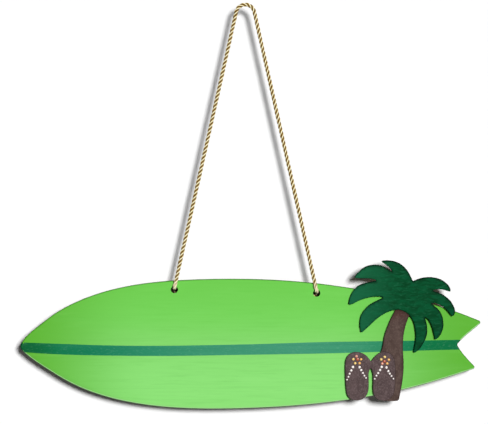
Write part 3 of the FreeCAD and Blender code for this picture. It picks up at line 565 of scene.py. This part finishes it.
def rounded_cutout(name, piece_name, radius, material, square_zone=None):
    """A cut-out rebuilt over its CAD outline: the front edge rolls over like sanded and painted plywood."""
    lo, hi = mm_box(name)
    y_front, y_back = lo[1], hi[1]
    loop = refined(front_outline(name), 0.6)
    nxt = np.roll(loop, -1, axis=0)
    if 0.5 * np.sum(loop[:, 0] * nxt[:, 1] - nxt[:, 0] * loop[:, 1]) < 0:
        loop = loop[::-1].copy()
    t = np.roll(loop, -1, axis=0) - np.roll(loop, 1, axis=0)
    t /= np.maximum(1e-9, np.hypot(t[:, 0], t[:, 1]))[:, None]
    inward = np.stack([-t[:, 1], t[:, 0]], 1)
    depths = [radius * f for f in (0.05, 0.15, 0.30, 0.50, 0.75, 1.0)]
    extra = []
    for depth in depths:
        q = loop + inward * depth
        ok = inside_loop(q, loop)
        q = q[ok]
        extra.append(q[distance_to_loop(q, loop) > depth * 0.93])
    xs = np.arange(lo[0], hi[0], 3.0)
    zs = np.arange(lo[2], hi[2], 3.0)
    grid = np.array([(x + (1.5 if k % 2 else 0), z) for k, z in enumerate(zs) for x in xs])
    grid = grid[inside_loop(grid, loop)]
    extra.append(grid[distance_to_loop(grid, loop) > radius * 1.4])
    extra = np.concatenate(extra)
    pts, faces, origin = filled(loop, extra)
    keep = np.ones(len(loop), bool)
    if square_zone is not None:                   # where it meets its neighbour the edge stays square
        middle = (loop + np.roll(loop, -1, axis=0)) / 2
        keep = ~((middle[:, 0] < square_zone[0]) & (middle[:, 1] < square_zone[1]))
    d = distance_to_loop(pts, loop, keep)
    nearest = np.array([int(np.argmin(((loop[keep] - p) ** 2).sum(1))) for p in pts])
    # painted shade weight along the edge: full within half a millimetre of it, gone by 1.8 mm, and strongest on the
    # edges that face up and right
    lean = -(inward[keep][nearest] @ np.array([0.7, 0.7]))
    ease = np.clip((lean + 0.45) / 0.9, 0, 1)
    edge_shade = (1 - np.clip((d - 0.5) / 1.3, 0, 1)) * (0.12 + 0.88 * ease * ease * (3 - 2 * ease))
    k = np.clip(d / radius, 0, 1)
    y = y_front + radius * (1 - np.sqrt(np.clip(1 - (1 - k) ** 2, 0, 1)))
    verts = [(p[0] * MM, yy * MM, p[1] * MM) for p, yy in zip(pts, y)]
    back_pts, back_faces, _ = filled(loop, np.zeros((0, 2)))
    base = len(verts)
    verts += [(p[0] * MM, y_back * MM, p[1] * MM) for p in back_pts]
    # rows down the side: the CDT keeps the loop's own points first and in order
    n = len(loop)
    front_row = list(range(n))
    back_row = [base + i for i in range(n)]
    out = [tuple(f) for f in faces] + [tuple(base + i for i in f) for f in back_faces]
    side_start = len(out)
    for i in range(n):
        j = (i + 1) % n
        out.append((front_row[i], front_row[j], back_row[j], back_row[i]))
    mesh = bpy.data.meshes.new(piece_name)
    mesh.from_pydata(verts, [], out)
    bm = bmesh.new()
    bm.from_mesh(mesh)
    bmesh.ops.remove_doubles(bm, verts=bm.verts, dist=1e-7)
    bmesh.ops.recalc_face_normals(bm, faces=bm.faces)
    bm.to_mesh(mesh)
    bm.free()
    attribute = mesh.attributes.new("edge_shade", "FLOAT", "POINT")
    attribute.data.foreach_set("value", [float(r) for r in edge_shade] + [0.0] * (len(mesh.vertices) - len(edge_shade)))
    for f in mesh.polygons:
        f.use_smooth = f.normal.y < 0.9
    obj = bpy.data.objects.new(piece_name, mesh)
    scene.collection.objects.link(obj)
    mesh.materials.append(material)
    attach(obj, "sign")
    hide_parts(name)
    return obj


crown = rounded_cutout("palm_crown", "palm_crown_painted", 0.8, crown_material)
trunk = rounded_cutout("palm_trunk", "palm_trunk_painted", 0.8, trunk_material,
                       square_zone=(sandal_hi[0] + 0.8, sandal_hi[2] + 0.8))


# ------------------------------------------------------------------ painted drops
def islands(name):
    """Centres and half widths, in mm, of the separate drops in a CAD node."""
    bm = bmesh.new()
    bm.from_mesh(nodes[name].data)
    bmesh.ops.remove_doubles(bm, verts=bm.verts, dist=2e-6)
    seen, found = set(), []
    for v in bm.verts:
        if v.index in seen:
            continue
        stack, members = [v], []
        seen.add(v.index)
        while stack:
            w = stack.pop()
            members.append(w.co.copy())
            for e in w.link_edges:
                o = e.other_vert(w)
                if o.index not in seen:
                    seen.add(o.index)
                    stack.append(o)
        c = np.array(members) * 1000
        lo, hi = c.min(0), c.max(0)
        found.append(((lo[0] + hi[0]) / 2, (lo[2] + hi[2]) / 2, (hi[0] - lo[0]) / 2, hi[1] - lo[1], hi[1]))
    bm.free()
    return found


def drops(piece_name, spots, material, replaced, seed):
    rng = random.Random(seed)
    bm = bmesh.new()
    around, up = 28, 9
    for cx, cz, radius, height, base_y in spots:
        # a brush handle leaves a drop that is slightly out of round, with a soft peak off centre
        wob = [(rng.uniform(0.015, 0.05), rng.uniform(0, 6.28), k) for k in (2, 3, 4)]
        peak = (rng.uniform(-0.16, 0.16), rng.uniform(-0.16, 0.16))
        rings = []
        for k in range(up):
            a = k / (up - 1) * math.pi / 2
            row = []
            shrink, rise = math.cos(a) ** 0.9, math.sin(a) ** 0.85
            if k == up - 1:
                row = [bm.verts.new(((cx + peak[0] * radius) * MM, (base_y - height) * MM, (cz + peak[1] * radius) * MM))]
            else:
                for i in range(around):
                    f = 2 * math.pi * i / around
                    r = radius * shrink * (1 + sum(w * math.cos(m * f + ph) for w, ph, m in wob) * (1 - rise * 0.6))
                    row.append(bm.verts.new(((cx + r * math.cos(f) + peak[0] * radius * rise) * MM,
                                             (base_y - height * rise) * MM,
                                             (cz + r * math.sin(f) + peak[1] * radius * rise) * MM)))
            rings.append(row)
        for a, b in zip(rings, rings[1:]):
            for i in range(around):
                j = (i + 1) % around
                bm.faces.new((a[i], a[j], b[0]) if len(b) == 1 else (a[i], a[j], b[j], b[i]))
        bm.faces.new(rings[0][::-1])
    bmesh.ops.recalc_face_normals(bm, faces=bm.faces)
    mesh = bpy.data.meshes.new(piece_name)
    bm.to_mesh(mesh)
    bm.free()
    for f in mesh.polygons:
        f.use_smooth = len(f.vertices) < 6
    obj = bpy.data.objects.new(piece_name, mesh)
    scene.collection.objects.link(obj)
    mesh.materials.append(material)
    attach(obj, "sign")
    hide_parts(replaced)
    return obj


for side in ("left", "right"):
    drops("strap_drops_" + side, islands("strap_dots_" + side), white_material, "strap_dots_" + side,
          11 if side == "left" else 12)
    petals = islands("flower_petals_" + side)
    top = max(range(5), key=lambda i: petals[i][1])
    low_left = min((i for i in range(5) if i != top), key=lambda i: petals[i][0] + petals[i][1])
    kinds = {"left": {top: "pink", low_left: "yellow"}, "right": {top: "yellow", low_left: "pink"}}[side]
    groups = {"yellow": [], "pink": [], "orange": []}
    for i, spot in enumerate(petals):
        groups[kinds.get(i, "orange" if i % 2 == 0 else "yellow")].append(spot)
    for colour, material in (("yellow", yellow_material), ("pink", pink_material), ("orange", orange_material)):
        if groups[colour]:
            drops("petal_drops_%s_%s" % (colour, side), groups[colour], material, "flower_petals_" + side,
                  {"yellow": 21, "pink": 22, "orange": 23}[colour] + (0 if side == "left" else 5))
    drops("centre_drop_" + side, islands("flower_centre_" + side), red_material, "flower_centre_" + side,
          31 if side == "left" else 32)

# ------------------------------------------------------------------ twisted cord
R_BEND = 10.2
BEND_Z = CORD_R - R_BEND
LAY = 16.0
STEP = 0.55


def smooth_path(points, step, rounds=0):
    """Catmull-Rom through the points, then even steps."""
    p = np.array(points, float)
    out = []
    for i in range(len(p) - 1):
        p0 = p[i - 1] if i > 0 else 2 * p[0] - p[1]
        p1, p2 = p[i], p[i + 1]
        p3 = p[i + 2] if i + 2 < len(p) else 2 * p[-1] - p[-2]
        n = max(2, int(np.linalg.norm(p2 - p1) / 0.25))
        for k in range(n):
            t = k / n
            out.append(0.5 * ((2 * p1) + (-p0 + p2) * t + (2 * p0 - 5 * p1 + 4 * p2 - p3) * t * t +
                              (-p0 + 3 * p1 - 3 * p2 + p3) * t ** 3))
    out.append(p[-1])
    out = np.array(out)
    for _ in range(rounds):
        inner = (out[:-2] + 2 * out[1:-1] + out[2:]) / 4
        out[1:-1] = inner
    d = np.linalg.norm(np.diff(out, axis=0), axis=1)
    s = np.r_[0, np.cumsum(d)]
    t = np.arange(0, s[-1], step)
    return np.stack([np.interp(t, s, out[:, k]) for k in range(3)], 1)


def half_points(side):
    """Points from the top of the loop down one leg, through its hole, round the knot to the free end."""
    sign = -1.0 if side == "left" else 1.0
    px, pz = PIVOT[side]
    dx, dz = px, pz - BEND_Z
    dist = math.hypot(dx, dz)
    base, spread = math.atan2(dz, dx), math.acos(R_BEND / dist)
    options = [(R_BEND * math.cos(base + s), BEND_Z + R_BEND * math.sin(base + s)) for s in (spread, -spread)]
    tx, tz = max(options, key=lambda o: o[1])
    angle_end = math.atan2(tz - BEND_Z, tx)
    if side == "left" and angle_end < 0:
        angle_end += 2 * math.pi
    pts = []
    count = 12
    for k in range(count + 1):
        a = math.pi / 2 + (angle_end - math.pi / 2) * k / count
        pts.append((R_BEND * math.cos(a), 0.0, BEND_Z + R_BEND * math.sin(a)))
    leg = np.array([px - tx, 0.0, pz - tz])
    length = np.linalg.norm(leg)
    leg /= length
    run = np.array([tx, 0.0, tz])
    for d in np.arange(8.0, length - 4.0, 8.0):
        pts.append(tuple(run + leg * d))
    pivot = np.array([px, 0.0, pz])
    a, b = pivot - leg * 3.6, pivot + np.array([0, 4.2, 0])
    for t in (0.0, 0.25, 0.5, 0.75, 1.0):
        pts.append(tuple(a * (1 - t) ** 2 + pivot * 2 * t * (1 - t) + b * t * t))
    pts.append((px, BACK_Y - 3.0, pz))
    pts.append((px, BACK_Y + 0.4, pz))
    # overhand knot, a (2,3) torus knot laid flat against the back; the cord comes out of the hole at its middle,
    # the free end leaves it on the outer side, heading down
    size, deep = 1.75, 1.85

    def placed(t):
        r = (2 + math.cos(3 * t)) * size
        a = 2 * t + math.radians(30)
        return np.array([-sign * r * math.cos(a), deep * math.sin(3 * t), r * math.sin(a)])
    t_in, t_out = math.radians(-52), math.radians(243)
    offset = np.array([px, BACK_Y + 0.3 + 1.8 + deep, pz])
    for t in np.arange(t_in, t_out, 0.13):
        pts.append(tuple(placed(t) + offset))
    end = placed(t_out) + offset
    pts.append(tuple(end))
    direction = (placed(t_out + 0.02) - placed(t_out - 0.02))
    direction /= np.linalg.norm(direction)
    floor_y = BACK_Y + CORD_R + 0.35
    here = end
    for k in range(1, 6):
        drop = direction * (1 - k / 6.0) + np.array([sign * 0.22 + 0.05 * math.sin(k), 0.0, -1.0]) * (k / 5.0)
        drop /= np.linalg.norm(drop)
        here = here + drop * 3.1
        here[1] += (floor_y - here[1]) * 0.42
        pts.append(tuple(here))
    return pts


left_pts, right_pts = half_points("left"), half_points("right")
PATH = smooth_path(left_pts[::-1] + right_pts[1:], STEP, rounds=3)
TOP_INDEX = int(np.argmax(PATH[:, 2]))
COUNT = len(PATH)
tangent = np.gradient(PATH, axis=0)
tangent /= np.linalg.norm(tangent, axis=1)[:, None]
normal = np.zeros_like(PATH)
first = np.cross(tangent[0], [0, 1, 0])
normal[0] = first / np.linalg.norm(first)
for i in range(1, COUNT):
    v = normal[i - 1] - tangent[i] * np.dot(normal[i - 1], tangent[i])
    normal[i] = v / np.linalg.norm(v)
binormal = np.cross(tangent, normal)
arc = np.r_[0, np.cumsum(np.linalg.norm(np.diff(PATH, axis=0), axis=1))]
arc = arc - arc[TOP_INDEX]
# the cord draws tighter inside its knots
tight = np.ones(COUNT)
for side in ("left", "right"):
    px, pz = PIVOT[side]
    dist = np.linalg.norm(PATH - np.array([px, BACK_Y + 4.0, pz]), axis=1)
    squeeze = np.clip((11.0 - dist) / 6.0, 0, 1) * (PATH[:, 1] > BACK_Y - 1.0)
    tight = np.minimum(tight, 1 - 0.17 * squeeze)
kernel = np.hanning(15)
kernel /= kernel.sum()
tight = np.convolve(np.pad(tight, 7, mode="edge"), kernel, mode="valid")
# slight hand-twisted unevenness
uneven = 1 + 0.025 * np.sin(arc * 0.21) + 0.02 * np.sin(arc * 0.057 + 1.3)
RADIUS = CORD_R * tight * uneven * 0.985


def index_where(side, z):
    """The path index at which one leg passes height z."""
    half = range(TOP_INDEX, -1, -1) if side == "left" else range(TOP_INDEX, COUNT)
    for i in half:
        if PATH[i, 2] <= z:
            return i
    raise RuntimeError("the cord never reaches that height")


def index_in_hole(side, y):
    half = range(TOP_INDEX, -1, -1) if side == "left" else range(TOP_INDEX, COUNT)
    for i in half:
        if PATH[i, 2] < PIVOT[side][1] + 6 and PATH[i, 1] >= y:
            return i
    raise RuntimeError("the cord never reaches that depth")


def rope_piece(piece_name, i0, i1, seed, hairs=1.3, fray_ends=()):
    """The three strands between two path indices, closed at both ends, with stray fibres."""
    i0, i1 = min(i0, i1), max(i0, i1)
    rng = random.Random(seed)
    around, lobes = 20, 5
    verts, faces, uvs, crest_and_groove_light = [], [], [], []

    def add_vertex(p, c):
        verts.append(tuple(p * MM))
        crest_and_groove_light.append(c)
        return len(verts) - 1

    for k in range(3):
        rows = []
        for i in range(i0, i1 + 1):
            a = 2 * math.pi * arc[i] / LAY + 2 * math.pi * k / 3
            er = normal[i] * math.cos(a) + binormal[i] * math.sin(a)
            et = -normal[i] * math.sin(a) + binormal[i] * math.cos(a)
            big = RADIUS[i]
            centre = PATH[i] + er * big * 0.536
            r = big * 0.464
            row = []
            for j in range(around):
                f = 2 * math.pi * j / around
                rr = r * (1 + 0.055 * math.cos(lobes * (f + 2 * math.pi * arc[i] / 11.0)))
                # the last value gives each point's place round its strand, 1 on its top and 0 in the groove, for the
                # painted shade and highlight
                row.append(add_vertex(centre + (er * math.cos(f) + et * 1.12 * math.sin(f)) * rr,
                                      0.5 + 0.5 * math.cos(f)))
            rows.append(row)
        for q, (ra, rb) in enumerate(zip(rows, rows[1:])):
            sa, sb = arc[i0 + q] * 0.01, arc[i0 + q + 1] * 0.01
            for j in range(around):
                n = (j + 1) % around
                faces.append((ra[j], rb[j], rb[n], ra[n]))
                u0, u1 = j / around, (j + 1) / around
                uvs.append(((u0, sa), (u0, sb), (u1, sb), (u1, sa)))
        for row, flip, at in ((rows[0], False, i0), (rows[-1], True, i1)):
            centre_id = add_vertex(np.mean([np.array(verts[v]) / MM for v in row], axis=0), 0.35)
            for j in range(around):
                n = (j + 1) % around
                faces.append((row[n], row[j], centre_id) if flip else (row[j], row[n], centre_id))
                s = arc[at] * 0.01
                uvs.append(((j / around, s), ((j + 1) / around, s), (0.5, s + 0.01)))

    def hair(root, direction, length, thick, curl):
        side_v = np.cross(direction, [0.3, 0.5, 0.8])
        side_v /= np.linalg.norm(side_v)
        up_v = np.cross(direction, side_v)
        rows, segments = [], 5
        for s in range(segments):
            t = s / segments
            p = root + direction * length * t + curl * length * t * t
            row = []
            for j in range(3):
                f = 2 * math.pi * j / 3
                row.append(add_vertex(p + (side_v * math.cos(f) + up_v * math.sin(f)) * thick * (1 - 0.7 * t), 0.9))
            rows.append(row)
        tip = add_vertex(root + direction * length + curl * length, 0.95)
        for ra, rb in zip(rows, rows[1:]):
            for j in range(3):
                n = (j + 1) % 3
                faces.append((ra[j], ra[n], rb[n], rb[j]))
                uvs.append(((0, 0), (0.1, 0), (0.1, 0.02), (0, 0.02)))
        for j in range(3):
            faces.append((rows[-1][j], rows[-1][(j + 1) % 3], tip))
            uvs.append(((0, 0), (0.1, 0), (0.05, 0.02)))
        faces.append((rows[0][2], rows[0][1], rows[0][0]))
        uvs.append(((0, 0), (0.1, 0), (0.05, 0.02)))

    for _ in range(int(hairs * (i1 - i0) * STEP / 10)):
        i = rng.randint(i0 + 2, max(i0 + 3, i1 - 2))
        a = rng.uniform(0, 2 * math.pi)
        out = normal[i] * math.cos(a) + binormal[i] * math.sin(a)
        if FACE_Y - 1 < PATH[i][1] < BACK_Y + 1 and PATH[i][2] < PIVOT["left"][1] + 8:
            continue
        if out[1] > 0.2 and PATH[i][2] < PIVOT["left"][1] + 22:
            continue
        lean = tangent[i] * rng.choice((-1, 1)) * rng.uniform(0.6, 1.6)
        d = out * rng.uniform(0.35, 0.9) + lean
        d /= np.linalg.norm(d)
        hair(PATH[i] + out * RADIUS[i] * 0.86, d, rng.uniform(1.2, 3.6), rng.uniform(0.045, 0.08),
             out * rng.uniform(-0.25, 0.35))
    for end in fray_ends:
        i = i0 if end == "start" else i1
        away = -tangent[i] if end == "start" else tangent[i]
        for _ in range(90):
            a, r = rng.uniform(0, 2 * math.pi), RADIUS[i] * math.sqrt(rng.uniform(0, 0.8))
            out = normal[i] * math.cos(a) + binormal[i] * math.sin(a)
            d = away + out * rng.uniform(0.05, 0.45)
            if d[1] < 0 and PATH[i][1] < BACK_Y + 4:
                d[1] *= 0.2
            d /= np.linalg.norm(d)
            hair(PATH[i] + out * r - away * 0.3, d, rng.uniform(2.2, 5.2), rng.uniform(0.06, 0.11),
                 out * rng.uniform(-0.1, 0.25))

    mesh = bpy.data.meshes.new(piece_name)
    mesh.from_pydata(verts, [], faces)
    layer = mesh.uv_layers.new(name="UVMap")
    flat = [c for face in uvs for corner in face for c in corner]
    layer.data.foreach_set("uv", flat)
    attribute = mesh.attributes.new("crest_and_groove_light", "FLOAT", "POINT")
    attribute.data.foreach_set("value", crest_and_groove_light)
    bm = bmesh.new()
    bm.from_mesh(mesh)
    bmesh.ops.recalc_face_normals(bm, faces=bm.faces)
    bm.to_mesh(mesh)
    bm.free()
    for f in mesh.polygons:
        f.use_smooth = True
    mesh.materials.append(cord_material)
    obj = bpy.data.objects.new(piece_name, mesh)
    scene.collection.objects.link(obj)
    return obj


Z_CUT_TOP = FOLD_UP + 34.0
Z_CUT_MID = (FOLD_UP + FOLD_LOW) / 2
Z_CUT_LOW = FOLD_LOW - 34.0
piece = rope_piece("cord_over_nail", index_where("left", Z_CUT_TOP), index_where("right", Z_CUT_TOP), 101)
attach(piece, "upper_cord")
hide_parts("cord_loop")
for n, side in enumerate(("left", "right")):
    top, mid, low = (index_where(side, z) for z in (Z_CUT_TOP, Z_CUT_MID, Z_CUT_LOW))
    hole = index_in_hole(side, BACK_Y - 1.5)
    last = 0 if side == "left" else COUNT - 1
    piece = rope_piece("cord_upper_fold_" + side, top, mid, 110 + n)
    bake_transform(piece)
    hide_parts("cord_middle_" + side)
    piece = rope_piece("cord_lower_fold_" + side, mid, low, 120 + n)
    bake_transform(piece)
    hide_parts("cord_lower_" + side)
    piece = rope_piece("cord_into_hole_" + side, low, hole, 130 + n)
    px, pz = PIVOT[side][0] * MM, PIVOT[side][1] * MM
    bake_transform(piece)
    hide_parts("cord_end_" + side)
    piece = rope_piece("cord_knot_" + side, hole, last, 140 + n, hairs=2.2,
                       fray_ends=("start",) if side == "left" else ("end",))
    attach(piece, "sign")
    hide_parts("knot_" + side)


# ------------------------------------------------------------------ stage: wall, sweep and floor
def make_wall():
    wall_y = max(mm_box("knot_left")[1][1], mm_box("knot_right")[1][1]) + 6.0
    profile = []
    floor_z, radius, top_z = -1500.0, 300.0, 2600.0
    profile.append((wall_y, top_z))
    profile.append((wall_y, floor_z + radius))
    for k in range(1, 17):
        a = k / 16.0 * math.pi / 2
        profile.append((wall_y - radius + radius * math.cos(a), floor_z + radius - radius * math.sin(a)))
    profile.append((wall_y - 14000.0, floor_z))
    bm = bmesh.new()
    rows = []
    for y, z in profile:
        rows.append([bm.verts.new((x * MM, y * MM, z * MM)) for x in (-9000.0, 9000.0)])
    for a, b in zip(rows, rows[1:]):
        bm.faces.new((a[0], b[0], b[1], a[1]))
    mesh = bpy.data.meshes.new("studio_sweep")
    bm.to_mesh(mesh)
    bm.free()
    for f in mesh.polygons:
        f.use_smooth = True
    obj = bpy.data.objects.new("studio_sweep", mesh)
    scene.collection.objects.link(obj)
    g = Graph("studio_white")
    cloud = g.noise(g.scaled(3.0, 3.0, 3.0), 1.0, 2.0, 0.5)
    g.set(Base_Color=g.mix(cloud, (0.965, 0.965, 0.965, 1), (0.975, 0.975, 0.975, 1)), Roughness=0.9, Specular_IOR_Level=0.1)
    # seen from behind the wall is clear, so that the back of the sign can be looked at
    geometry = g.tree.nodes.new("ShaderNodeNewGeometry")
    clear = g.tree.nodes.new("ShaderNodeBsdfTransparent")
    swap = g.tree.nodes.new("ShaderNodeMixShader")
    rays = g.tree.nodes.new("ShaderNodeLightPath")
    # it looks white but throws little light back, which keeps the shadows deep
    g.set(Base_Color=g.mix(rays.outputs["Is Camera Ray"], (0.22, 0.22, 0.22, 1),
                           g.mix(cloud, (0.965, 0.965, 0.965, 1), (0.975, 0.975, 0.975, 1))))
    up = g.tree.nodes.new("ShaderNodeSeparateXYZ")
    g.link(geometry.outputs["Normal"], up.inputs[0])
    flat = g.ramp01(up.outputs[2], 0.0, 1.0)
    g.set(Emission_Color=(1.0, 1.0, 1.0, 1),
          Emission_Strength=g.math("MULTIPLY", g.math("MULTIPLY", flat, rays.outputs["Is Camera Ray"]), 0.40))
    g.link(g.math("MAXIMUM", geometry.outputs["Backfacing"], rays.outputs["Is Shadow Ray"]), swap.inputs[0])
    g.link(g.bsdf.outputs[0], swap.inputs[1])
    g.link(clear.outputs[0], swap.inputs[2])
    g.link(swap.outputs[0], g.out.inputs[0])
    mesh.materials.append(g.material)
    obj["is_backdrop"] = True
    return obj, wall_y


sweep, WALL_Y = make_wall()
facing = sum(f.normal.y * f.area for f in sweep.data.polygons)
if facing > 0:
    sweep.data.flip_normals()


# ------------------------------------------------------------------ light
def area(name, place, target, size, power, colour=(1, 1, 1), size_y=None):
    data = bpy.data.lights.new(name, "AREA")
    data.shape = "RECTANGLE" if size_y else "SQUARE"
    data.size = size
    if size_y:
        data.size_y = size_y
    data.energy = power
    data.color = colour
    obj = bpy.data.objects.new(name, data)
    scene.collection.objects.link(obj)
    obj.location = place
    obj.rotation_euler = (Vector(target) - Vector(place)).to_track_quat("-Z", "Y").to_euler()
    return obj
    return obj


centre = Vector((MID_X * MM, 0.0, -0.24))
sun_data = bpy.data.lights.new("key", "SUN")
sun_data.energy = 3.3
sun_data.angle = math.radians(13.5)
sun = bpy.data.objects.new("key", sun_data)
scene.collection.objects.link(sun)
sun.rotation_euler = Vector((-0.275, 1.0, -0.20)).to_track_quat("-Z", "Y").to_euler()
area("fill_front", centre + Vector((-0.9, -2.6, 0.35)), centre, 2.2, 0.5)
back_lights = [area("back_left", centre + Vector((-1.6, 1.8, 0.9)), centre, 1.4, 36.0),
               area("back_right", centre + Vector((1.6, 1.8, 0.3)), centre, 1.4, 22.0)]
world = bpy.data.worlds.new("studio")
scene.world = world
world.use_nodes = True
ambient = world.node_tree.nodes["Background"]
ambient.inputs[0].default_value = (0.92, 0.96, 1.06, 1)
ambient.inputs[1].default_value = 0.035
seen = world.node_tree.nodes.new("ShaderNodeBackground")
seen.inputs[0].default_value = (0.93, 0.93, 0.93, 1)
path = world.node_tree.nodes.new("ShaderNodeLightPath")
choose = world.node_tree.nodes.new("ShaderNodeMixShader")
world.node_tree.links.new(path.outputs["Is Camera Ray"], choose.inputs[0])
world.node_tree.links.new(ambient.outputs[0], choose.inputs[1])
world.node_tree.links.new(seen.outputs[0], choose.inputs[2])
world.node_tree.links.new(choose.outputs[0], world.node_tree.nodes["World Output"].inputs[0])

# ------------------------------------------------------------------ camera: square on, from far enough to be almost flat
camera_data = bpy.data.cameras.new("camera")
camera = bpy.data.objects.new("camera", camera_data)
scene.collection.objects.link(camera)
FRAME_WIDTH = 538.0 * MM                   # width of the view at the board's face
DISTANCE = 3.0
camera_data.sensor_width = 36.0
camera_data.lens = 36.0 * DISTANCE / FRAME_WIDTH
camera_data.clip_end = 50.0
camera.location = (-1.4 * MM, FACE_Y * MM - DISTANCE, -226.3 * MM)
camera.rotation_euler = (math.pi / 2, 0.0, 0.0)
scene.camera = camera
# the lights behind the wall are on only while the camera is behind it too, so that they never wash out the shadows
for light in back_lights:
    full = light.data.energy
    curve = light.data.driver_add("energy")
    curve.driver.type = "AVERAGE"
    place = curve.driver.variables.new()
    place.type = "TRANSFORMS"
    place.targets[0].id = camera
    place.targets[0].transform_type = "LOC_Y"
    place.targets[0].transform_space = "WORLD_SPACE"
    for modifier in list(curve.modifiers):
        curve.modifiers.remove(modifier)
    curve.keyframe_points.add(2)
    curve.keyframe_points[0].co, curve.keyframe_points[1].co = (0.15, 0.0), (0.6, full)
    for point in curve.keyframe_points:
        point.interpolation = "LINEAR"
    curve.extrapolation = "CONSTANT"
scene.view_settings.view_transform = "Standard"
scene.view_settings.look = "None"

lo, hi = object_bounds()
